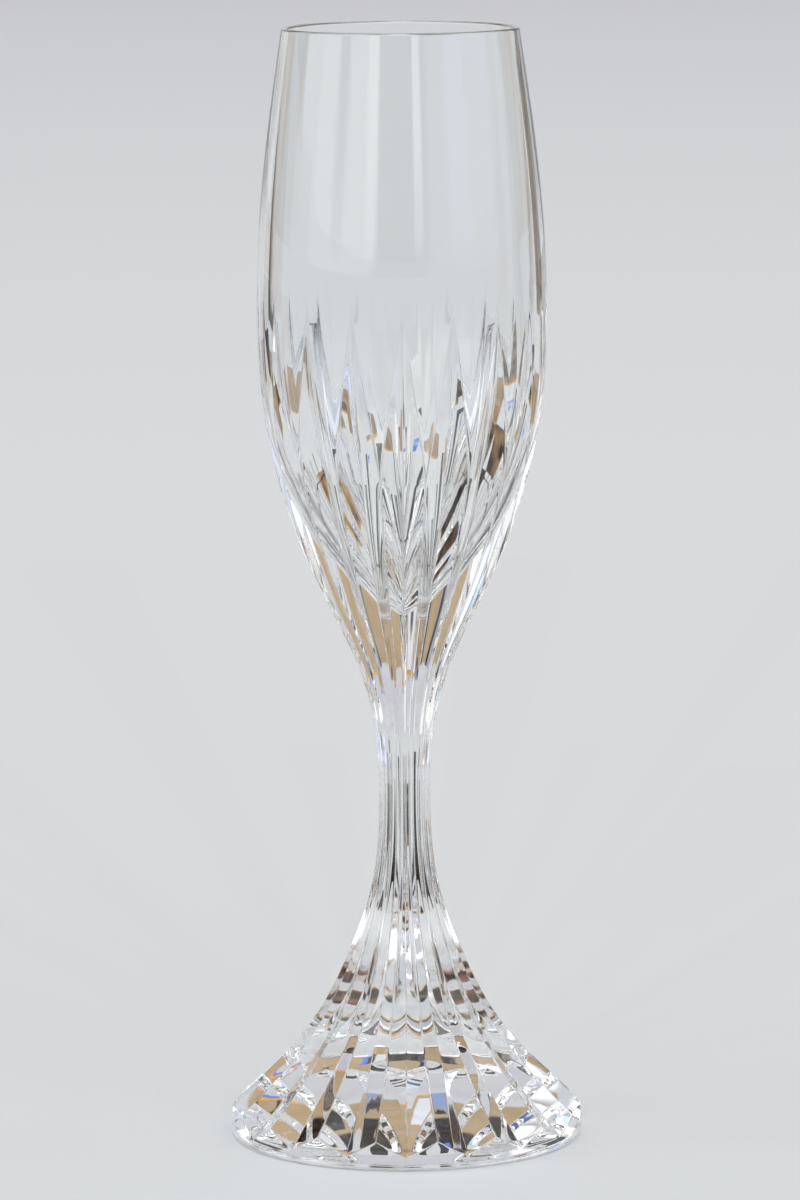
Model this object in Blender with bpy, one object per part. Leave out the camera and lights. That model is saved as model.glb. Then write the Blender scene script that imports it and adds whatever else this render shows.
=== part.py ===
"""Champagne flute in cut crystal: a tall bowl, a drawn stem and a flared foot.

The glass is made hot in three pieces, which are fused in line and then cut cold.
Eighteen V cuts run the whole way up it, from the foot's edge, along the stem and
on to the bowl, where each one ends in a long point.

Metres, +Z up. The origin is the middle of the flat ring that the glass stands on.
A cut faces -Y, and a ridge lies half a step to each side of it.
"""

import math

import bmesh
import bpy
import numpy as np

MM = 0.001

# Driving dimensions
HEIGHT = 215 * MM
CUT_COUNT = 18
CUT_ANGLE = math.radians(134)      # between the two faces of one V cut
RIDGE_LAND = 0.3 * MM              # polished width left on each ridge

CUT_FULL_HEIGHT = 130 * MM         # below this, neighbouring cuts meet
CUT_TIP_HEIGHT = 163 * MM          # where each cut runs out on the bowl

BAND_TOP = 5.6 * MM                # top of the plain band at the foot's edge
BAND_RADIUS = 34.1 * MM
BAND_BOTTOM = 1.0 * MM             # below this, the band turns in to the resting ring
BASE_RADIUS = 33.4 * MM
DISH_RADIUS = 27.0 * MM            # the ground hollow under the foot
DISH_DEPTH = 1.3 * MM

STEM_TOP = 92.0 * MM               # the two fused joints
STEM_BOTTOM = 34.0 * MM
JOINT_GAP = 0.3 * MM

LIP_RADIUS = 0.5 * MM              # fire-polished rim
HOLLOW_CROWDING = 1.8              # above 1, the hollow's loops crowd towards its round bottom

# Outside of the uncut blank: (height, radius) along one smooth curve
BLANK = [(5.6, 34.1), (15, 24.2), (25, 16.4), (36, 11.0), (48, 6.8), (64, 5.05), (80, 5.85),
         (92, 9.0), (106, 15.6), (122, 22.25), (156, 27.8), (190, 26.15), (215, 22.7)]

# Inside of the bowl, from its round bottom to the rim
HOLLOW = [(104, 0.0), (110, 8.0), (120, 15.5), (132, 21.3), (146, 24.6), (165, 25.3),
          (190, 24.0), (215, 21.7)]

STEP_ANGLE = 2 * math.pi / CUT_COUNT
FACE_SLOPE = 1 / math.tan(CUT_ANGLE / 2)


def smooth_curve(heights, values):
    """Natural cubic spline through the points: even curvature, free at both ends."""
    heights = np.asarray(heights, float)
    values = np.asarray(values, float)
    count = len(heights)
    span = np.diff(heights)
    slope = np.diff(values) / span
    system = np.eye(count)
    right = np.zeros(count)
    for i in range(1, count - 1):
        system[i, i - 1:i + 2] = span[i - 1], 2 * (span[i - 1] + span[i]), span[i]
        right[i] = 6 * (slope[i] - slope[i - 1])
    bend = np.linalg.solve(system, right)

    def value_at(height):
        height = np.asarray(height, float)
        i = np.clip(np.searchsorted(heights, height) - 1, 0, count - 2)
        low = height - heights[i]
        high = heights[i + 1] - height
        cubic = (bend[i] * high ** 3 + bend[i + 1] * low ** 3) / (6 * span[i])
        return (cubic + (values[i] / span[i] - bend[i] * span[i] / 6) * high
                + (values[i + 1] / span[i] - bend[i + 1] * span[i] / 6) * low)

    return value_at


def blank_curve():
    """Radius of the uncut outside at a height."""
    points = np.array(BLANK) * MM
    return smooth_curve(points[:, 0], points[:, 1])


def hollow_curve():
    """Radius of the inside at a height. Its square is what is interpolated, so the bottom is round."""
    points = np.array(HOLLOW) * MM
    squared = smooth_curve(points[:, 0], points[:, 1] ** 2)
    return lambda height: np.sqrt(np.maximum(squared(height), 0))


blank_radius = blank_curve()
hollow_radius = hollow_curve()


def foot_radius(height):
    """The blank's radius, carried on in a straight cone below the top of the band."""
    cone = (blank_radius(BAND_TOP) - blank_radius(BAND_TOP + MM)) / MM
    extra = np.maximum(BAND_TOP - height, 0)
    return blank_radius(np.maximum(height, BAND_TOP)) + cone * extra


def cut_half_width(height):
    """Half of one cut's width, as an angle round the glass."""
    full = STEP_ANGLE / 2 - RIDGE_LAND / 2 / foot_radius(height)
    taper = (CUT_TIP_HEIGHT - height) / (CUT_TIP_HEIGHT - CUT_FULL_HEIGHT)
    return full * np.clip(taper, 0, 1)


def cut_radius(height, turn):
    """Distance from the axis to a V cut's face, turn away from the bottom of the V."""
    width = cut_half_width(height)
    valley = foot_radius(height) * (np.cos(width) - np.sin(width) * FACE_SLOPE)
    return valley / (np.cos(turn) - np.sin(turn) * FACE_SLOPE)


def column_turns(height):
    """The four columns of one cut, as angles from its middle: valley, edge, ridge, edge."""
    width = float(cut_half_width(height))
    return np.array([0.0, width, STEP_ANGLE / 2, STEP_ANGLE - width])


def fold(turn):
    """Angle to the nearest valley."""
    return np.minimum(turn, STEP_ANGLE - turn)


def ring(turns, radii, heights):
    """One loop of points round the axis, repeated for every cut. The first valley faces -Y."""
    start = np.arange(CUT_COUNT)[:, None] * STEP_ANGLE - math.pi / 2
    angles = (start + turns[None, :]).ravel()
    radii = np.tile(np.broadcast_to(radii, turns.shape), CUT_COUNT)
    heights = np.tile(np.broadcast_to(heights, turns.shape), CUT_COUNT)
    return np.column_stack([radii * np.cos(angles), radii * np.sin(angles), heights])


def cut_ring(height):
    """A loop on the cut outside at one height."""
    turns = column_turns(height)
    radii = np.array([float(cut_radius(height, 0.0)), *[float(foot_radius(height))] * 3])
    return ring(turns, radii, height)


def band_edge_height(turn):
    """Height at which a V cut's face meets the band, by bisection."""
    low, high = 0.0, BAND_TOP
    for _ in range(40):
        middle = (low + high) / 2
        if cut_radius(middle, turn) > BAND_RADIUS:
            low = middle
        else:
            high = middle
    return high


def solid_from_rings(name, rings, material):
    """Closed solid through the loops in order. The first and the last loop are filled."""
    mesh = bmesh.new()
    loops = [[mesh.verts.new(point) for point in points] for points in rings]
    for lower, upper in zip(loops, loops[1:]):
        for i in range(len(lower)):
            j = (i + 1) % len(lower)
            mesh.faces.new((lower[i], lower[j], upper[j], upper[i]))
    mesh.faces.new(list(reversed(loops[0])))
    mesh.faces.new(loops[-1])
    bmesh.ops.recalc_face_normals(mesh, faces=mesh.faces)
    data = bpy.data.meshes.new(name)
    mesh.to_mesh(data)
    mesh.free()
    data.materials.append(material)
    data.shade_smooth()
    data.set_sharp_from_angle(angle=math.radians(12))
    solid = bpy.data.objects.new(name, data)
    bpy.context.scene.collection.objects.link(solid)
    return solid


def crystal(name, colour):
    """Clear lead crystal with a little of the piece's own tone."""
    material = bpy.data.materials.new(name)
    material.use_nodes = True
    shader = material.node_tree.nodes["Principled BSDF"]
    shader.inputs["Base Color"].default_value = (*colour, 1)
    shader.inputs["Roughness"].default_value = 0.02
    shader.inputs["Metallic"].default_value = 0
    shader.inputs["IOR"].default_value = 1.545
    shader.inputs["Transmission Weight"].default_value = 1
    return material


def make_bowl():
    """Cut outside, round lip, and the hollow down to its rounded bottom."""
    fluted = np.linspace(STEM_TOP + JOINT_GAP, CUT_FULL_HEIGHT, 9)
    pointed = np.linspace(CUT_FULL_HEIGHT, CUT_TIP_HEIGHT - MM, 9)[1:]
    rings = [cut_ring(height) for height in (*fluted, *pointed)]

    lip_height = HEIGHT - LIP_RADIUS
    even = np.arange(4) * STEP_ANGLE / 4
    for height in np.linspace(CUT_TIP_HEIGHT + 2 * MM, lip_height, 7):
        rings.append(ring(even, blank_radius(height), height))

    lip_middle = (blank_radius(lip_height) + hollow_radius(lip_height)) / 2
    lip_width = (blank_radius(lip_height) - hollow_radius(lip_height)) / 2
    for bend in np.radians([45, 90, 135]):
        radius = lip_middle + lip_width * math.cos(bend)
        rings.append(ring(even, radius, lip_height + LIP_RADIUS * math.sin(bend)))

    bottom = HOLLOW[0][0] * MM
    for share in np.linspace(1, 0.04, 14):
        height = bottom + (lip_height - bottom) * share ** HOLLOW_CROWDING
        rings.append(ring(even, hollow_radius(height), height))
    return solid_from_rings("bowl", rings, crystal("bowl_crystal", (0.90, 0.92, 0.93)))


def make_stem():
    """Solid drawn stem, a flat joint face at each end."""
    heights = np.linspace(STEM_BOTTOM + JOINT_GAP, STEM_TOP, 11)
    rings = [cut_ring(height) for height in heights]
    return solid_from_rings("stem", rings, crystal("stem_crystal", (0.86, 0.89, 0.92)))


def make_foot():
    """Flared foot: V faces down to the band's zigzag edge, a flat ring, and a ground hollow."""
    turns = column_turns(BAND_TOP)
    edge = np.array([band_edge_height(turn) for turn in fold(turns)])
    rings = []
    for reach in np.linspace(0.1, 1, 5) * DISH_RADIUS:
        rings.append(ring(turns, reach, DISH_DEPTH * (1 - (reach / DISH_RADIUS) ** 2)))
    rings.append(ring(turns, BASE_RADIUS, 0))
    rings.append(ring(turns, BAND_RADIUS, BAND_BOTTOM))
    rings.append(ring(turns, BAND_RADIUS, edge))
    for share in np.linspace(0, 1, 9)[1:]:
        heights = edge + (STEM_BOTTOM - edge) * share
        turns = column_turns(heights.mean())
        valley, *ridge = heights
        radii = np.array([cut_radius(valley, 0.0), *(foot_radius(height) for height in ridge)])
        rings.append(ring(turns, radii, heights))
    return solid_from_rings("foot", rings, crystal("foot_crystal", (0.82, 0.86, 0.92)))


def clear_scene():
    """Remove whatever the file holds."""
    for thing in list(bpy.data.objects):
        bpy.data.objects.remove(thing, do_unlink=True)


clear_scene()
make_foot()
make_stem()
make_bowl()
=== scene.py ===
# %% [markdown]
# # A champagne flute in cut crystal
#
# The glass is made in three pieces, a blown bowl, a drawn stem and a pressed foot. They are fused hot,
# in line, and then eighteen V cuts are ground and polished from the foot's edge to the middle of the bowl.
# Glass has almost no colour of its own. What the eye reads is the shape of its two surfaces and the room
# that they bend, so this lesson spends its effort on exact surfaces and on a studio worth bending.
#
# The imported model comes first. It fixes where everything is, and nothing in it is moved.

# %% Load the frame
import math

import bpy
import numpy as np
from mathutils import Matrix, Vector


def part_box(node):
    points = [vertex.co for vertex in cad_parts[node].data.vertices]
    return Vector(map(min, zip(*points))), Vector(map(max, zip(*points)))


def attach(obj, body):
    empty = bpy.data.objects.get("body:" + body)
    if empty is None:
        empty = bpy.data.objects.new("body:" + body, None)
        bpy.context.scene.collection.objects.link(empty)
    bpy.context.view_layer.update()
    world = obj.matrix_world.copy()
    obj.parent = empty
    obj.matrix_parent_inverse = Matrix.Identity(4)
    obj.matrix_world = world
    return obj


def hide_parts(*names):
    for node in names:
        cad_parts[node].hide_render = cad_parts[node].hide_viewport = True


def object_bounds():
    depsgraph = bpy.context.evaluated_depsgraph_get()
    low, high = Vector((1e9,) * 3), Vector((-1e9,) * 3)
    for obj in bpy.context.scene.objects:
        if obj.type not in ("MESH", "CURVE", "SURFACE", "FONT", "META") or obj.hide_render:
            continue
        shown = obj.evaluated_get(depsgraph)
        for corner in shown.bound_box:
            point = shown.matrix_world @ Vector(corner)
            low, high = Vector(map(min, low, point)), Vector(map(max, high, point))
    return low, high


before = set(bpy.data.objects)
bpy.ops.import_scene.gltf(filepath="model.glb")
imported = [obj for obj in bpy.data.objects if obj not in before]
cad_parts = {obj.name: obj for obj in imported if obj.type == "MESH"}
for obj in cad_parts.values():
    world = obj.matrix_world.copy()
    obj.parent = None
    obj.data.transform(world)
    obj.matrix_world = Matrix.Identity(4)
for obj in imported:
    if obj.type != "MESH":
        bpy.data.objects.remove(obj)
cad_bounds = [list(map(float, corner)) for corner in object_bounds()]
MM = 0.001
TOP = cad_bounds[1][2]
BAND_RADIUS = cad_bounds[1][0]
print("frame: %.1f mm tall, foot %.1f mm across" % (TOP / MM, 2 * BAND_RADIUS / MM))

# %% [markdown]
# ## The fused joints
#
# The real joints are invisible, because the glass melts together. The model leaves a thin gap at each one
# instead. The middle of each gap is where one visible piece ends and the next begins.


# %% Where the pieces meet
def joint_height(lower, upper):
    """Half way between the top of one node and the bottom of the next."""
    return (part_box(lower)[1][2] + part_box(upper)[0][2]) / 2


FOOT_JOINT = joint_height("foot", "stem")
BOWL_JOINT = joint_height("stem", "bowl")
print("fused joints at %.2f and %.2f mm" % (FOOT_JOINT / MM, BOWL_JOINT / MM))

# %% [markdown]
# ## One smooth outline
#
# A glassblower's outline has no corners, so it is a curve through a few heights and radii. A cubic spline
# keeps the curvature continuous. That matters more on glass than on anything else, because a reflection
# shows a jump in curvature that the outline itself hides.


# %% Curve through a few points
def smooth_curve(heights, values):
    """Natural cubic spline: the bend at each inner point balances the slopes of its two spans."""
    count = len(heights)
    span = np.diff(heights)
    slope = np.diff(values) / span
    system = np.eye(count)
    right = np.zeros(count)
    for i in range(1, count - 1):
        system[i, i - 1:i + 2] = span[i - 1], 2 * (span[i - 1] + span[i]), span[i]
        right[i] = 6 * (slope[i] - slope[i - 1])
    bend = np.linalg.solve(system, right)

    def value_at(height):
        i = np.clip(np.searchsorted(heights, height) - 1, 0, count - 2)
        low = height - heights[i]
        high = heights[i + 1] - height
        cubic = (bend[i] * high ** 3 + bend[i + 1] * low ** 3) / (6 * span[i])
        return (cubic + (values[i] / span[i] - bend[i] * span[i] / 6) * high
                + (values[i + 1] / span[i] - bend[i + 1] * span[i] / 6) * low)

    return value_at


# %% The blank and the hollow, as height and radius in millimetres
BLANK = np.array([(5.6, 34.1), (15, 24.2), (25, 16.4), (36, 11.0), (48, 6.8), (64, 5.05), (80, 5.85),
                  (92, 9.0), (106, 15.6), (122, 22.25), (156, 27.8), (190, 26.15), (215, 22.7)]) * MM
HOLLOW = np.array([(104, 0.0), (110, 8.0), (120, 15.5), (132, 21.3), (146, 24.6), (165, 25.3),
                   (190, 24.0), (215, 21.7)]) * MM
BAND_TOP = BLANK[0, 0]

blank_curve = smooth_curve(BLANK[:, 0], BLANK[:, 1])
hollow_square = smooth_curve(HOLLOW[:, 0], HOLLOW[:, 1] ** 2)
CONE = (blank_curve(BAND_TOP) - blank_curve(BAND_TOP + MM)) / MM


def blank_radius(height):
    """The spline down to the band, then a straight cone on from it, so that the cuts can run out."""
    below = np.maximum(BAND_TOP - height, 0)
    return blank_curve(np.maximum(height, BAND_TOP)) + CONE * below


def hollow_radius(height):
    """Root of a spline through the squared radii, which makes the bottom round."""
    return np.sqrt(np.maximum(hollow_square(height), 0))


WIDEST = 158 * MM
for place, height in (("rim", TOP), ("widest", WIDEST)):
    print("wall at the %s: %.2f mm" % (place, (blank_radius(height) - hollow_radius(height)) / MM))

# %% [markdown]
# ## The cuts
#
# A V-edged stone wheel makes each cut. Across the glass the cut is two flat faces that meet in a valley, and
# two neighbouring cuts meet in a ridge. Both are slightly rounded by the acid polish. On the bowl the
# wheel lifts off, so the cut narrows to a point.
#
# Each of these is a plain formula for the radius at an angle and a height. A soft minimum joins them, and its
# blend distance is the rounding that polishing leaves.

# %% Sizes of the cuts
CUT_COUNT = 18
STEP = 2 * math.pi / CUT_COUNT
CUT_ANGLE = math.radians(134)
FACE_SLOPE = 1 / math.tan(CUT_ANGLE / 2)
CUT_FULL = 130 * MM
CUT_TIP = 163 * MM
VALLEY_ROUND = 0.07 * MM
RIDGE_ROUND = 0.09 * MM


# %% Radius of the cut surface
def soft_min(a, b, blend):
    """(a + b - sqrt((a - b)^2 + blend^2)) / 2: the smaller of two, with a rounded corner."""
    return (a + b - np.sqrt((a - b) ** 2 + blend ** 2)) / 2


def cut_width(height):
    """Half a cut's angle: half a step up to CUT_FULL, shrinking to nothing at CUT_TIP, negative above."""
    taper = (CUT_TIP - height) / (CUT_TIP - CUT_FULL)
    return STEP / 2 * np.minimum(taper, 1)


def valley_radius(height):
    """Depth of the V's bottom, so that its faces meet the blank half a cut's width away."""
    width = np.abs(cut_width(height))
    side = np.sign(cut_width(height))
    return blank_radius(height) * (np.cos(width) - side * np.sin(width) * FACE_SLOPE)


def face_radius(turn, height):
    """Where a line from the axis, turned away from the valley, meets the rounded V.

    The V is x = valley + slope * sqrt(y^2 + round^2), and x, y = r cos(turn), r sin(turn).
    """
    valley = valley_radius(height)
    spread = np.cos(turn) ** 2 - (FACE_SLOPE * np.sin(turn)) ** 2
    root = np.sqrt((valley * np.sin(turn)) ** 2 + spread * VALLEY_ROUND ** 2)
    return (valley * np.cos(turn) + FACE_SLOPE * root) / spread


def cut_radius(turn, height):
    """Softest minimum of this cut's V, the next cut's V and the uncut blank."""
    both = soft_min(face_radius(turn, height), face_radius(STEP - turn, height), RIDGE_ROUND)
    return soft_min(both, blank_radius(height), RIDGE_ROUND)


def foot_radius(turn, height):
    """The cut surface, stopped by the plain band at the foot's edge."""
    return soft_min(cut_radius(turn, height), BAND_RADIUS, RIDGE_ROUND)


# %% [markdown]
# ## Columns that follow the cuts
#
# A regular grid would step over the narrow ridges. Instead, each cut gets its own columns: a few crowded
# into the rounded valley, a few across the flat face, a few round the edge. They slide together as the cut
# narrows, so every ridge and every point is a clean line of vertices.

# %% Angles of the columns in one cut
VALLEY_STEPS = np.array([0.045, 0.10, 0.20]) * MM
VALLEY_SHARES = np.array([0.10, 0.22, 0.38])
EDGE_STEPS = np.array([0.18, 0.08]) * MM
LEAST_WIDTH = 0.4 * MM


def column_turns(height):
    """24 angles from one valley to the next for each height, which is a column of numbers."""
    height = np.asarray(height, float).reshape(-1, 1)
    radius = blank_radius(height)
    half = STEP / 2
    edge = np.clip(cut_width(height), LEAST_WIDTH / radius, half - EDGE_STEPS[0] / radius)
    land = half - edge
    valley = np.minimum(VALLEY_STEPS / radius, VALLEY_SHARES * edge)
    inner = edge - np.minimum(EDGE_STEPS / radius, edge * [0.3, 0.15])
    face = valley[:, 2:] + (inner[:, :1] - valley[:, 2:]) * [1 / 3, 2 / 3]
    outer = edge + np.minimum(EDGE_STEPS[::-1] / radius, land * [0.25, 0.5])
    middle = (outer[:, 1:] + half) / 2
    rising = np.hstack([0 * edge, valley, face, inner, edge, outer, middle, half + 0 * edge])
    return np.hstack([rising, STEP - rising[:, -2:0:-1]])


def around(turns):
    """Repeats one cut's columns for all cuts. The first valley faces -Y. Returns turns and angles."""
    starts = np.repeat(np.arange(CUT_COUNT) * STEP - math.pi / 2, turns.shape[1])
    turns = np.tile(turns, (1, CUT_COUNT))
    return turns, turns + starts


print("columns round the glass:", around(column_turns([BAND_TOP]))[0].shape[1])

# %% [markdown]
# ## Points and true normals
#
# Blender can guess a vertex's normal from the faces round it. On a flat face beside a tiny rounding that
# guess leans over, and polished glass then looks swollen. The formula gives the true normal instead: it is
# square to the slope round the glass and to the slope up it.


# %% Surface from a radius formula
def upright_skin(radius_of, turns, angles, heights):
    """Points at radius r(turn, height), and normals (radial, -dr/r dturn, -dr/dheight), outwards."""
    tiny = 1e-7
    radius = radius_of(turns, heights)
    round_slope = (radius_of(turns + tiny, heights) - radius_of(turns - tiny, heights)) / (2 * tiny)
    rise_slope = (radius_of(turns, heights + tiny) - radius_of(turns, heights - tiny)) / (2 * tiny)
    cos, sin = np.cos(angles), np.sin(angles)
    lean = round_slope / radius
    points = np.stack([radius * cos, radius * sin, heights + 0 * radius], -1)
    normals = np.stack([cos + lean * sin, sin - lean * cos, -rise_slope], -1)
    return points, normals / np.linalg.norm(normals, axis=-1, keepdims=True)


def turned_skin(profile, steps, angles):
    """A profile (radius, height) of one number, spun round the axis. Its normal is square to the profile."""
    tiny = 1e-5
    radius, height = profile(steps)
    ahead, behind = profile(steps + tiny), profile(steps - tiny)
    along_r, along_z = ahead[0] - behind[0], ahead[1] - behind[1]
    length = np.hypot(along_r, along_z)
    out, up = along_z / length, -along_r / length
    cos, sin = np.cos(angles), np.sin(angles)
    points = np.stack([radius * cos, radius * sin, height + 0 * cos], -1)
    normals = np.stack([out * cos, out * sin, up + 0 * cos], -1)
    return points, normals


# %% [markdown]
# ## From grids to a closed mesh
#
# Rows of points run from one end of a piece to the other. Neighbouring rows are joined by quads, and each end
# is closed with a fan to one middle point. A fan is either real glass, such as the bottom of the hollow, or a
# fused joint, which gets its own material because light passes through it unbent.


# %% Mesh from rows
def closed_mesh(name, rows, ends, materials):
    """rows: (points, normals) grids, stacked. ends: (middle point, normal, material) for each end."""
    points = np.concatenate([grid[0] for grid in rows])
    normals = np.concatenate([grid[1] for grid in rows])
    count, columns = points.shape[:2]
    index = np.arange(count * columns).reshape(count, columns)
    right = np.roll(index, -1, axis=1)
    quads = np.stack([index[:-1], right[:-1], right[1:], index[1:]], -1).reshape(-1, 4)
    middles = count * columns, count * columns + 1
    first = np.stack([right[0], index[0], np.full(columns, middles[0])], -1)
    last = np.stack([index[-1], right[-1], np.full(columns, middles[1])], -1)
    fans = np.concatenate([first, last])

    all_points = np.concatenate([points.reshape(-1, 3), [ends[0][0]], [ends[1][0]]])
    all_normals = np.concatenate([normals.reshape(-1, 3), [ends[0][1]], [ends[1][1]]])
    corners = np.concatenate([quads.ravel(), fans.ravel()])
    sizes = np.concatenate([np.full(len(quads), 4), np.full(len(fans), 3)])

    mesh = bpy.data.meshes.new(name)
    mesh.vertices.add(len(all_points))
    mesh.vertices.foreach_set("co", all_points.ravel())
    mesh.loops.add(len(corners))
    mesh.loops.foreach_set("vertex_index", corners.astype(np.int32))
    mesh.polygons.add(len(sizes))
    mesh.polygons.foreach_set("loop_start", np.concatenate([[0], np.cumsum(sizes)[:-1]]).astype(np.int32))
    slots = np.concatenate([np.zeros(len(quads), np.int32), np.full(columns, ends[0][2]),
                            np.full(columns, ends[1][2])])
    mesh.polygons.foreach_set("material_index", slots.astype(np.int32))
    for material in materials:
        mesh.materials.append(material)
    mesh.update()
    mesh.validate()
    mesh.shade_smooth()

    corner_normals = all_normals[corners]
    fan_start = quads.size
    for place, end in enumerate(ends):
        if end[2]:
            begin = fan_start + place * 3 * columns
            corner_normals[begin:begin + 3 * columns] = end[1]
    mesh.normals_split_custom_set(corner_normals)

    piece = bpy.data.objects.new(name, mesh)
    bpy.context.scene.collection.objects.link(piece)
    volume = np.einsum("ij,ij->i", all_points[fans[:, 0]], np.cross(all_points[fans[:, 1]],
                                                                    all_points[fans[:, 2]])).sum()
    a, b, c, d = (all_points[quads[:, k]] for k in range(4))
    volume += np.einsum("ij,ij->i", a, np.cross(b, c)).sum() + np.einsum("ij,ij->i", a, np.cross(c, d)).sum()
    print("%s: %d triangles, %.1f cm3" % (name, 2 * len(quads) + len(fans), volume / 6 * 1e6))
    return piece


# %% [markdown]
# ## Materials
#
# Lead crystal, polished: perfectly clear, with a higher index of refraction than window glass, which is why
# it sparkles. The blown bowl keeps very faint waves from the gathering iron. The stem and foot carry the
# finest trace of the polish, far too small to see except as a softening of the sharpest highlights.


# %% Colour and node helpers
def colour(code):
    """sRGB hex to linear: c / 12.92 when dark, ((c + 0.055) / 1.055)^2.4 otherwise."""
    values = [int(code[k:k + 2], 16) / 255 for k in (1, 3, 5)]
    linear = [v / 12.92 if v <= 0.04045 else ((v + 0.055) / 1.055) ** 2.4 for v in values]
    return (*linear, 1.0)


def add_node(tree, kind, settings=None, **inputs):
    """One node with its settings. An input is a plain value, or another node's output to link from."""
    node = tree.nodes.new(kind)
    for key, value in (settings or {}).items():
        setattr(node, key, value)
    for key, value in inputs.items():
        socket = node.inputs[int(key[1:])] if key[0] == "_" else node.inputs[key.replace("_", " ")]
        if isinstance(value, bpy.types.NodeSocket):
            tree.links.new(value, socket)
        else:
            socket.default_value = value
    return node


# %% Polished lead crystal
CRYSTAL_IOR = 1.545


def lead_crystal(name, tint, wave_size, wave_depth):
    """Clear glass. Faint waves of the given size and depth, both real lengths, tilt its normals."""
    material = bpy.data.materials.new(name)
    material.use_nodes = True
    tree = material.node_tree
    shader = tree.nodes["Principled BSDF"]
    shader.inputs["Base Color"].default_value = colour(tint)
    shader.inputs["Transmission Weight"].default_value = 1
    shader.inputs["IOR"].default_value = CRYSTAL_IOR
    shader.inputs["Roughness"].default_value = 0
    place = add_node(tree, "ShaderNodeTexCoord")
    waves = add_node(tree, "ShaderNodeTexNoise", Vector=place.outputs["Object"], Scale=1 / wave_size,
                     Detail=2.0)
    bump = add_node(tree, "ShaderNodeBump", Height=waves.outputs["Fac"], Distance=wave_depth, Strength=1.0)
    tree.links.new(bump.outputs["Normal"], shader.inputs["Normal"])
    return material


blown_crystal = lead_crystal("blown lead crystal, fire-polished", "#FDFEFE", 7 * MM, 0.004 * MM)
drawn_crystal = lead_crystal("drawn lead crystal, cut and polished", "#FDFEFE", 4 * MM, 0.002 * MM)
pressed_crystal = lead_crystal("pressed lead crystal, cut and polished", "#FCFDFE", 5 * MM, 0.003 * MM)


# %% Fused joint
def fused_joint():
    """Where two pieces have melted together there is no surface, so light goes straight through."""
    material = bpy.data.materials.new("fused crystal joint")
    material.use_nodes = True
    tree = material.node_tree
    tree.nodes.remove(tree.nodes["Principled BSDF"])
    clear = add_node(tree, "ShaderNodeBsdfTransparent")
    tree.links.new(clear.outputs["BSDF"], tree.nodes["Material Output"].inputs["Surface"])
    return material


joint_material = fused_joint()

# %% [markdown]
# ## The foot
#
# Seen from below it is a flat ring with a shallow ground hollow inside it. The band stands upright at its
# edge. Above that, each V face runs out through the band, and where they meet is a zigzag. The rows of the
# mesh are bent to follow that zigzag, so it stays crisp.

# %% Foot sizes
BASE_RADIUS = 33.4 * MM
BAND_BOTTOM = 1.0 * MM
DISH_RADIUS = 27.0 * MM
DISH_DEPTH = 1.3 * MM
CREASE_ROUND = 0.06 * MM
NEAR_EDGE = np.array([0, 0.03, 0.07, 0.12, 0.2]) * MM


def underside(step):
    """Profile below the band. 0 to 1: dish and ring, out to the base edge. 1 to 2: round up to the band."""
    step = np.asarray(step, float)
    reach = BASE_RADIUS * np.minimum(step, 1)
    hollow = DISH_DEPTH * (1 - (reach / DISH_RADIUS) ** 2)
    flat = (hollow + np.sqrt(hollow ** 2 + CREASE_ROUND ** 2)) / 2
    bend = (np.maximum(step, 1) - 1) * math.pi / 2
    radius = reach + (BAND_RADIUS - BASE_RADIUS) * np.sin(bend)
    return radius, flat + BAND_BOTTOM * (1 - np.cos(bend))


def band_edge(turn):
    """Height where a V face meets the band: the blank's cone has grown by just the depth of the cut there."""
    turn = np.minimum(turn, STEP - turn)
    full = math.cos(STEP / 2) - math.sin(STEP / 2) * FACE_SLOPE
    needed = BAND_RADIUS * (np.cos(turn) - np.sin(turn) * FACE_SLOPE) / full
    return BAND_TOP - (needed - BAND_RADIUS) / CONE


# %% Make the foot
def make_foot():
    base_turns, base_angles = around(column_turns([BAND_TOP]))
    dish = np.concatenate([np.linspace(0.02, 0.77, 16), np.linspace(0.785, 0.83, 7), [0.88, 0.94, 1.0]])
    corner = np.linspace(1, 2, 7)[1:]
    edge = band_edge(base_turns)
    band = [edge - (edge - BAND_BOTTOM) * share for share in np.linspace(0.85, 0.12, 5)]
    band += [edge - offset for offset in NEAR_EDGE[:0:-1]]
    band_heights = np.concatenate(band)
    rows = [turned_skin(underside, dish[:, None], base_angles),
            turned_skin(underside, corner[:, None], base_angles),
            upright_skin(foot_radius, base_turns, base_angles, band_heights)]

    far = FOOT_JOINT - edge
    offsets = [offset + 0 * edge for offset in NEAR_EDGE]
    offsets += [NEAR_EDGE[-1] + (far - NEAR_EDGE[-1]) * share for share in np.linspace(0, 1, 44)[1:] ** 1.1]
    heights = edge + np.concatenate(offsets)
    turns, angles = around(column_turns(heights.mean(axis=1)))
    settle = np.clip((heights - edge) / (4 * MM), 0, 1)
    turns = base_turns + (turns - base_turns) * settle
    angles = base_angles + (angles - base_angles) * settle
    rows.append(upright_skin(foot_radius, turns, angles, heights))
    ends = [((0, 0, float(underside(0.0)[1])), (0, 0, -1), 0), ((0, 0, FOOT_JOINT), (0, 0, 1), 1)]
    return closed_mesh("crystal_foot", rows, ends, [pressed_crystal, joint_material])


foot = make_foot()

# %% [markdown]
# ## The stem
#
# The stem is the plainest piece, cut from end to end. Its rows are spread evenly from one joint to the other,
# and at each end they meet the foot's and the bowl's rows on the same columns and the same cut, so that
# both sides of a fused joint bend light alike.


# %% Make the stem
def make_stem():
    heights = np.linspace(FOOT_JOINT, BOWL_JOINT, 84)
    turns, angles = around(column_turns(heights))
    rows = [upright_skin(cut_radius, turns, angles, heights[:, None])]
    ends = [((0, 0, FOOT_JOINT), (0, 0, -1), 1), ((0, 0, BOWL_JOINT), (0, 0, 1), 1)]
    return closed_mesh("crystal_stem", rows, ends, [drawn_crystal, joint_material])


stem = make_stem()

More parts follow.
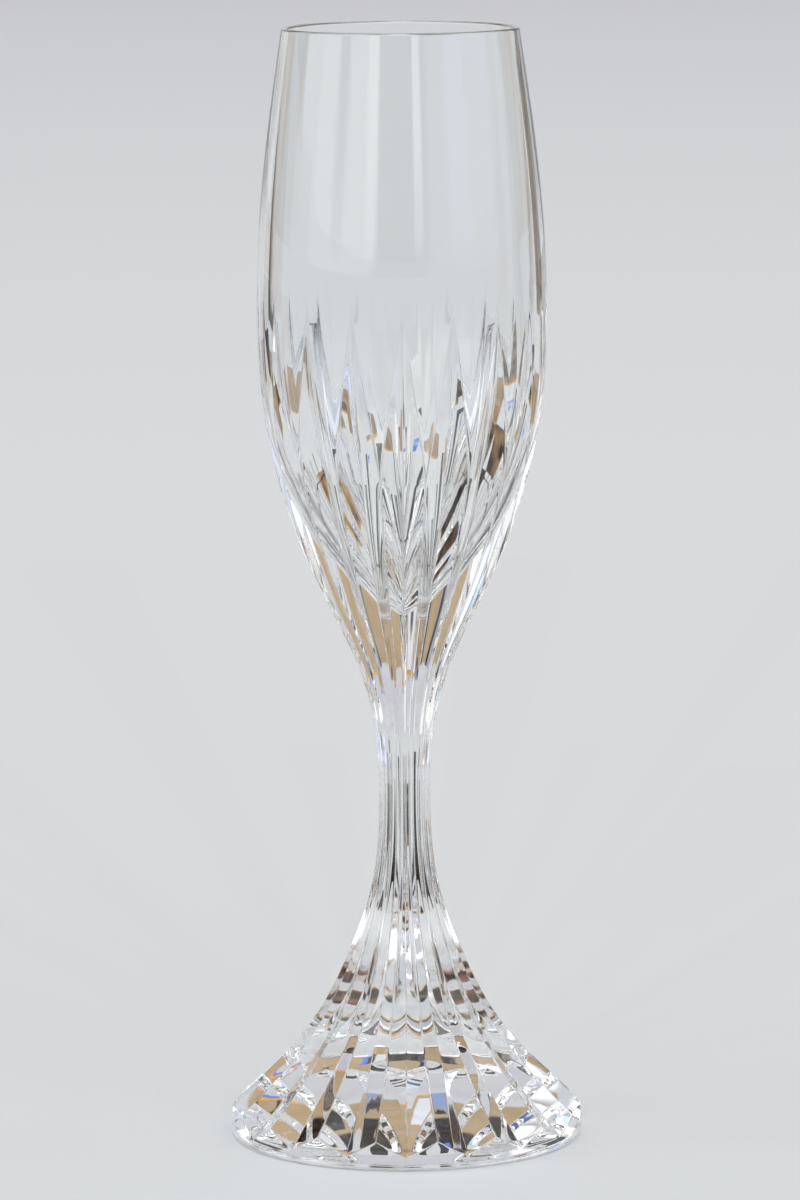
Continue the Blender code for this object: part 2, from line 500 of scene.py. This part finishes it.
# %% [markdown]
# ## The bowl
#
# The outside climbs past the points of the cuts to the rim. The lip is rolled over by the flame, and the
# inside comes down again to a small round bottom. The inside was never cut, but it was blown, so it has
# faint ribs that run up and down it. Each is about a hundredth of a millimetre deep, and together they reach
# two. They are what makes the plain part of the bowl shimmer.

# %% Bowl sizes
LIP = 0.55 * MM
LIP_HEIGHT = TOP - LIP
RIB_DEPTH = 0.009 * MM


def ribs(angle, height):
    """Four slow sine waves round the glass, added together. The first three drift as they climb."""
    climb = height / TOP
    return RIB_DEPTH * (np.sin(5 * angle + 3 * climb) + 0.8 * np.sin(8 * angle - 4 * climb + 1)
                        + 0.5 * np.sin(13 * angle + 5 * climb + 2) + 0.25 * np.sin(21 * angle + 4))


def hollow_skin(angles, shares):
    """The inside as a function of angle and share of the depth, with a true normal that faces the axis."""
    bottom = HOLLOW[0, 0]

    def surface(angle, share):
        height = bottom + (LIP_HEIGHT - bottom) * share ** 2
        fade = np.minimum(share / 0.3, 1) ** 2 * np.minimum((1 - share) / 0.03, 1)
        radius = hollow_radius(height) + ribs(angle, height) * fade
        return np.stack([radius * np.cos(angle), radius * np.sin(angle), height + 0 * angle], -1)

    tiny = 1e-6
    round_way = surface(angles + tiny, shares) - surface(angles - tiny, shares)
    up_way = surface(angles, shares + tiny) - surface(angles, shares - tiny)
    normals = np.cross(up_way, round_way)
    return surface(angles, shares), normals / np.linalg.norm(normals, axis=-1, keepdims=True)


# %% Make the bowl
def make_bowl():
    heights = np.concatenate([np.linspace(BOWL_JOINT, CUT_TIP + 6 * MM, 96),
                              np.linspace(CUT_TIP + 6 * MM, LIP_HEIGHT, 30)[1:]])
    turns, angles = around(column_turns(heights))
    outside = upright_skin(cut_radius, turns, angles, heights[:, None])

    top_angles = angles[-1:]
    outer, inner = blank_radius(LIP_HEIGHT), hollow_radius(LIP_HEIGHT)

    def lip(step):
        bend = step * math.pi
        return (outer + inner) / 2 + (outer - inner) / 2 * np.cos(bend), LIP_HEIGHT + LIP * np.sin(bend)

    rolled = turned_skin(lip, np.linspace(0, 1, 13)[1:-1, None], top_angles)
    shares = np.linspace(1, 0.03, 56)[:, None]
    inside = hollow_skin(top_angles + 0 * shares, shares + 0 * top_angles)
    bottom = (0, 0, HOLLOW[0, 0])
    ends = [((0, 0, BOWL_JOINT), (0, 0, -1), 1), (bottom, (0, 0, 1), 0)]
    return closed_mesh("crystal_bowl", [outside, rolled, inside], ends, [blown_crystal, joint_material])


bowl = make_bowl()

# %% [markdown]
# ## Riding on the frame
#
# The flute has no moving parts, so all three pieces ride on the one body. Each takes the place of the
# plainer model of itself.

# %% Tie each piece to its node
for piece, node in ((foot, "foot"), (stem, "stem"), (bowl, "bowl")):
    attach(piece, "root")
    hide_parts(node)
    print(piece.name, "stands for", node)

# %% [markdown]
# ## The studio
#
# Clear glass shows nothing but its surroundings, so the surroundings are designed. What the camera itself
# sees, the floor and the dome low behind the glass, is pale grey. Elsewhere the dome holds white soft boxes,
# a tan wall, dark gaps and thin coloured edges. The facets pick those up and turn them into bright, warm
# and dark patches.
#
# All of it is placed for the view from the front. From other sides the facets find whatever lies
# there.

# %% Floor
FLOOR_DROP = 0.3 * MM
FLOOR_REACH = 9.0
FLOOR_COLUMNS = 97
RING_ROWS = 24


def ring_sector(name, start, stop, near, far, height, columns):
    """Flat part of a ring. Compass angles run from +Y towards +X, and the spacing grows outwards."""
    reach = np.geomspace(near, far, RING_ROWS)[:, None]
    angles = np.radians(np.linspace(start, stop, columns))[None, :]
    points = np.stack([reach * np.sin(angles), reach * np.cos(angles), 0 * reach * angles + height], -1)
    index = np.arange(points.shape[0] * columns).reshape(-1, columns)
    quads = np.stack([index[:-1, :-1], index[:-1, 1:], index[1:, 1:], index[1:, :-1]], -1)[..., ::-1]
    mesh = bpy.data.meshes.new(name)
    mesh.from_pydata(points.reshape(-1, 3).tolist(), [], quads.reshape(-1, 4).tolist())
    sheet = bpy.data.objects.new(name, mesh)
    bpy.context.scene.collection.objects.link(sheet)
    return sheet


def matt_surface(name, near, far):
    """Matt material, with its tree, shader and place, and a share: 0 at near and 1 at far from the glass."""
    matt = bpy.data.materials.new(name)
    matt.use_nodes = True
    tree = matt.node_tree
    shader = tree.nodes["Principled BSDF"]
    shader.inputs["Roughness"].default_value = 0.9
    shader.inputs["Specular IOR Level"].default_value = 0.1
    place = add_node(tree, "ShaderNodeTexCoord")
    reach = add_node(tree, "ShaderNodeVectorMath", {"operation": "LENGTH"}, _0=place.outputs["Object"])
    share = add_node(tree, "ShaderNodeMapRange", Value=reach.outputs["Value"], From_Min=near, From_Max=far)
    return matt, tree, shader, place.outputs["Object"], share.outputs[0]


# %% Paint the floor
FLOOR_NEAR = "#E6EAED"
FLOOR_FAR = "#D2D4DA"
FADE_FROM = 1.0
FADE_TO = 5.0


def floor_paint():
    """Matt paint whose shade drifts from one colour to another with the distance from the glass."""
    paint, tree, shader, _, share = matt_surface("pale matt studio paint", FADE_FROM, FADE_TO)
    shade = add_node(tree, "ShaderNodeMix", {"data_type": "RGBA"}, _0=share, _6=colour(FLOOR_NEAR),
                     _7=colour(FLOOR_FAR))
    tree.links.new(shade.outputs[2], shader.inputs["Base Color"])
    return paint


floor = ring_sector("studio_floor", 0, 360, MM, FLOOR_REACH, -FLOOR_DROP, FLOOR_COLUMNS)
floor.data.materials.append(floor_paint())
print("floor: %.0f m across" % (2 * FLOOR_REACH))

# %% [markdown]
# ## Cards that only the glass sees
#
# Whoever lights glass lays dark and coloured cards just out of view, because a facet that looks at one turns
# dark or warm while its neighbour stays bright. Here they lie on the floor and are hidden from the camera
# itself, which no real card could be, so the floor stays plain and only the crystal finds them.
#
# Real crystal also splits white light into colours, and this glass does not. The warm near edge and the blue
# far edge of each card stand in for that.


# %% Make one card
CARD_HEIGHT = -0.5 * FLOOR_DROP
THREAD_HEIGHT = -0.2 * FLOOR_DROP
CARD_COLUMNS = 19
FRINGE = 0.035                 # share of a card's length that its coloured edge takes
WARM_EDGE = "#E9B56A"
COLD_EDGE = "#4D7EEA"
BLOTCH_RANGE = (0.4, 0.6)      # the noise stays mostly between these, so the shades are spread over it


def lay_card(name, start, stop, near, far, codes, blotch, height=CARD_HEIGHT, edge=FRINGE):
    """A sector of matt card, blotched in a few shades, with a warm near edge and a blue far edge.

    It casts no shadow and tints nothing around it.
    """
    card = ring_sector("card_" + name, start, stop, near, far, height, CARD_COLUMNS)
    paper, tree, shader, place, share = matt_surface("matt card, " + name, near, far)
    blotches = add_node(tree, "ShaderNodeTexNoise", Vector=place, Scale=1 / blotch, Detail=1.0)
    shades = add_node(tree, "ShaderNodeValToRGB", _0=blotches.outputs["Fac"])
    fringe = add_node(tree, "ShaderNodeValToRGB", _0=share)
    warm, cold = colour(WARM_EDGE), colour(COLD_EDGE)
    shade_stops = list(zip(np.linspace(*BLOTCH_RANGE, len(codes)), map(colour, codes)))
    fringe_stops = [(0, warm), (edge, warm[:3] + (0,)), (1 - edge, cold[:3] + (0,)), (1, cold)]
    for ramp, stops in ((shades.color_ramp, shade_stops), (fringe.color_ramp, fringe_stops)):
        for where, shade in stops[1:-1]:
            ramp.elements.new(float(where)).color = shade
        for end in (0, -1):
            ramp.elements[end].color = stops[end][1]
            ramp.elements[end].position = float(stops[end][0])
    mixed = add_node(tree, "ShaderNodeMix", {"data_type": "RGBA"}, _0=fringe.outputs["Alpha"],
                     _6=shades.outputs["Color"], _7=fringe.outputs["Color"])
    tree.links.new(mixed.outputs[2], shader.inputs["Base Color"])
    card.data.materials.append(paper)
    card.visible_camera = False
    card.visible_diffuse = False
    card.visible_shadow = False
    return card


# %% Lay the cards
TAN = ["#A08865", "#B59B77"]
UMBER = ["#2A221A", "#8C7450"]
BLACK = ["#0E0A08", "#2E2218"]
# name, compass from and to, near and far edge in metres, shades, size of the blotches in metres
CARDS = [
    ("tan_left", 321, 337, 0.6, 1.3, TAN, 0.4),
    ("tan_side", 280, 294, 0.6, 2.2, TAN, 0.3),
    ("black_left", 307, 321, 0.8, 2.4, ["#1C1814", "#4A4238"], 0.3),
    ("tan_far", 304, 321, 2.4, 7.0, TAN, 0.6),
    ("umber_right", 22, 38, 0.95, 2.6, UMBER, 0.3),
    ("blue_right", 28, 32.5, 0.5, 0.72, ["#3F73D8", "#9DBBF2", "#F4F4F2"], 0.1),
    ("tan_right", 48, 68, 0.4, 0.9, TAN, 0.2),
    ("stem_flank", 11, 19, 0.2, 0.42, ["#3E2E26", "#8A7264"], 0.04),
    ("brown_right", 54, 84, 0.2, 0.4, ["#2A1B10", "#9A7A50"], 0.1),
    ("black_right", 82, 100, 0.045, 0.2, BLACK, 0.05),
    ("umber_near", 52, 82, 0.045, 0.1, ["#15100C", "#6A4A2A"], 0.03),
    ("amber_left", 252, 288, 0.06, 0.2, ["#94683A", "#C9A473"], 0.05),
    # Painted shade under the foot: these three rings, seen only through the glass, darken the floor beneath
    # it in dark and pale blotches.
    ("painted_shade_under_heart", 0, 360, 0.001, 0.007, ["#3B3322", "#8A6048", "#9A7058", "#DCD4CC"], 0.007),
    ("painted_shade_under_ring", 0, 360, 0.0115, 0.0185, ["#3B3322", "#8A6048", "#9A7058", "#EDEAE6"], 0.008),
    ("painted_shade_under_edge", 0, 360, 0.0225, 0.026, ["#26261A", "#8C7A58", "#EDEAE6"], 0.006),
    # Painted contact shadow: a thin dark ring just under the base edge, seen only through the glass.
    ("painted_contact_shadow_ring", 0, 360, 0.0325, 0.0334, ["#2C2C24", "#5A564A"], 0.02),
]
for card in CARDS:
    lay_card(*card)

print("cards on the floor:", len(CARDS))

# %% [markdown]
# ## Dark strips between the cards
#
# The stem and the ridges show dozens of thin dark lines. They are narrow strips that run away from the glass
# like spokes, and four thin arcs across them. The strips to the sides are short, because from above the
# plain part of the bowl would show longer ones as bars.

# %% Lay the strips
NARROW_EDGE = 0.002
SPOKE_START = 0.07
SPOKE_BLOTCH = 0.05
SHORT_SPOKE = 0.27
SHORT_SPOKE_WIDTH = 1.2
# compass from and to, far end in metres
SPOKES = [(-17, -14, 0.8), (-9, -6.5, 0.8), (1.5, 4, 0.8), (9, 10.5, 0.8), (14, 17, 0.8), (21, 24, 0.85),
          (38, 41, 0.85), (44, 45.5, 0.85), (318, 321, SHORT_SPOKE), (326, 328, SHORT_SPOKE),
          (334, 338, SHORT_SPOKE), (-4, -2.2, 0.45), (5.6, 7, 0.45), (340, 341.8, 0.45)]
SPOKES += [(start, start + SHORT_SPOKE_WIDTH, SHORT_SPOKE) for start in range(27, 336, 11)]
for number, (start, stop, far) in enumerate(SPOKES):
    lay_card("spoke_%d" % number, start, stop, SPOKE_START, far, BLACK, SPOKE_BLOTCH, THREAD_HEIGHT,
             NARROW_EDGE)

THREAD_WIDTH = 1.03            # far edge over near edge
THREAD_SPAN = 84
THREAD_REACHES = (0.075, 0.17)
THREAD_SIDES = (("right", 24), ("left", 252))
for number, reach in enumerate(THREAD_REACHES):
    for side, start in THREAD_SIDES:
        lay_card("thread_%s_%d" % (side, number), start, start + THREAD_SPAN, reach, reach * THREAD_WIDTH,
                 BLACK, SPOKE_BLOTCH, THREAD_HEIGHT, NARROW_EDGE)
print("strips and arcs:", len(SPOKES), "and", len(THREAD_REACHES) * len(THREAD_SIDES))

# %% [markdown]
# ## The dome
#
# A real set has soft boxes and walls round it. A dome of soft-edged patches does the same with no lamps, and
# its light falls off gently at each patch's edge, as it does at the edge of a diffuser.


# %% Dome of soft boxes
def studio_world():
    """A dome of zones. Each is a soft-edged patch, given by compass angle and height angle in degrees."""
    world = bpy.data.worlds.new("studio dome")
    bpy.context.scene.world = world
    world.use_nodes = True
    tree = world.node_tree
    tree.nodes.clear()
    way = add_node(tree, "ShaderNodeTexCoord").outputs["Generated"]
    split = add_node(tree, "ShaderNodeSeparateXYZ", Vector=way)
    east, north, up = split.outputs
    compass = add_node(tree, "ShaderNodeMath", {"operation": "ARCTAN2"}, _0=east, _1=north).outputs[0]
    compass = add_node(tree, "ShaderNodeMath", {"operation": "DEGREES"}, _0=compass).outputs[0]
    height = add_node(tree, "ShaderNodeMath", {"operation": "ARCSINE"}, _0=up).outputs[0]
    height = add_node(tree, "ShaderNodeMath", {"operation": "DEGREES"}, _0=height).outputs[0]

    def inside(value, middle, half, soft):
        """1 within half of middle, 0 beyond half + soft, smooth between."""
        gap = add_node(tree, "ShaderNodeMath", {"operation": "SUBTRACT"}, _0=value, _1=middle).outputs[0]
        gap = add_node(tree, "ShaderNodeMath", {"operation": "WRAP"}, _0=gap, _1=180.0, _2=-180.0).outputs[0]
        gap = add_node(tree, "ShaderNodeMath", {"operation": "ABSOLUTE"}, _0=gap).outputs[0]
        return add_node(tree, "ShaderNodeMapRange", {"interpolation_type": "SMOOTHSTEP"}, Value=gap,
                        From_Min=half + soft, From_Max=half, To_Min=0.0, To_Max=1.0).outputs[0]

    paint = add_node(tree, "ShaderNodeRGB").outputs[0]
    paint.default_value = colour(DOME_GREY)
    for spot, lift, half_wide, half_tall, soft, code, power in ZONES:
        mask = add_node(tree, "ShaderNodeMath", {"operation": "MULTIPLY"},
                        _0=inside(compass, spot, half_wide, soft), _1=inside(height, lift, half_tall, soft))
        shade = [power * channel for channel in colour(code)[:3]] + [1]
        paint = add_node(tree, "ShaderNodeMix", {"data_type": "RGBA"}, _0=mask.outputs[0], _6=paint,
                         _7=shade).outputs[2]
    background = add_node(tree, "ShaderNodeBackground", Color=paint, Strength=1.0)
    output = add_node(tree, "ShaderNodeOutputWorld")
    tree.links.new(background.outputs[0], output.inputs["Surface"])
    return world


DOME_GREY = "#CDCFD3"
# compass angle, height angle, half width, half height, soft edge, colour, power. Later ones lie on top.
ZONES = [
    (0, 76, 180, 16, 8, "#FBF4EA", 1.1),
    (225, 26, 50, 34, 5, "#FFFFFF", 1.3),
    (148, 38, 28, 20, 4, "#FFFFFF", 1.8),
    (106, 10, 16, 14, 3, "#CFDAF5", 1.1),
    (180, 8, 20, 12, 6, "#7A7672", 0.9),
    (205, 11, 3, 8, 4, "#FFFFFF", 2.0),
    (166, 11, 2, 8, 3, "#FFFFFF", 1.7),
    (234, 11, 3, 8, 4, "#77777C", 0.9),
    (130, 11, 7, 8, 5, "#C4CFF6", 1.6),
    (4, 28, 34, 13, 1, "#B29A78", 1.0),
    (23, 26, 14, 14, 1, "#B59C79", 1.05),
    (136, 22, 16, 6, 3, "#C6C8CE", 1.0),
    (236, 21, 18, 6, 3, "#D6D9E0", 1.0),
    (0.5, 21, 0.9, 7, 0.4, "#8EA4D0", 1.0),
    (2.4, 20, 0.35, 6, 0.3, "#1C2230", 0.9),
    (-1.2, 20, 0.35, 6, 0.3, "#3A3A44", 0.9),
    (14.5, 21, 0.9, 7, 0.5, "#E2E4EA", 1.0),
    (16.2, 20, 0.4, 7, 0.3, "#2A2A30", 0.9),
    (19.5, 20, 0.4, 7, 0.3, "#4A4038", 0.9),
    (5, 50, 38, 9, 2, "#2B2420", 0.8),
    (-1, 42, 10, 13, 1.5, "#241A14", 0.8),
    (-22, 22, 3.5, 6, 1.5, "#DCE6FA", 1.5),
    (60, 12, 11, 14, 2, "#7E6B56", 0.8),
    (292, 8, 11, 14, 2, "#3A2F38", 0.8),
    (318, 28, 7, 9, 2, "#3E2A12", 0.8),
    (284, 26, 7, 5, 2, "#3F5F95", 1.1),
    (255, 48, 9, 8, 2, "#BFE0FF", 1.3),
    (330, 4, 12, 8, 2, "#FFFFFF", 1.1),
    (9.5, 34, 0.5, 7, 0.3, "#4A78E0", 1.2),
    (23, 11.8, 14, 0.4, 0.3, "#F2A23A", 1.1),
    (23, 10.9, 14, 0.4, 0.3, "#5C86E8", 1.1),
    (0, 4, 14, 7, 1, "#CACACF", 1.0),
    (270, 1, 9, 4, 2, "#CCCCD1", 1.0),
]
studio_world()
print("zones in the dome:", len(ZONES))

# %% [markdown]
# ## Camera
#
# A long lens from a little over a metre away, looking slightly down on the foot.

# %% Camera
CAMERA_BACK = 1.168
CAMERA_HEIGHT = 0.278
CAMERA_PITCH = math.radians(8.44)
CAMERA_ROLL = math.radians(-0.34)
AIM_LEFT = 0.0007
LENS = 183.5

camera_data = bpy.data.cameras.new("camera")
camera_data.lens = LENS
camera_data.sensor_width = 36
camera_data.clip_start = 0.05
camera_data.clip_end = 50
camera = bpy.data.objects.new("camera", camera_data)
camera.matrix_world = (Matrix.Translation((-AIM_LEFT, -CAMERA_BACK, CAMERA_HEIGHT))
                       @ Matrix.Rotation(math.pi / 2 - CAMERA_PITCH, 4, "X")
                       @ Matrix.Rotation(CAMERA_ROLL, 4, "Z"))
bpy.context.scene.collection.objects.link(camera)
bpy.context.scene.camera = camera

# %% [markdown]
# ## Light through many surfaces
#
# Light that enters cut glass meets a dozen surfaces before it leaves. If its path is cut short, the deepest
# facets turn black, so the limits are raised.

# %% Light paths
cycles = bpy.context.scene.cycles
cycles.max_bounces = 40
cycles.transmission_bounces = 40
cycles.glossy_bounces = 24
cycles.transparent_max_bounces = 40
cycles.caustics_reflective = True
cycles.caustics_refractive = True
cycles.blur_glossy = 0
bpy.context.scene.view_settings.view_transform = "Standard"
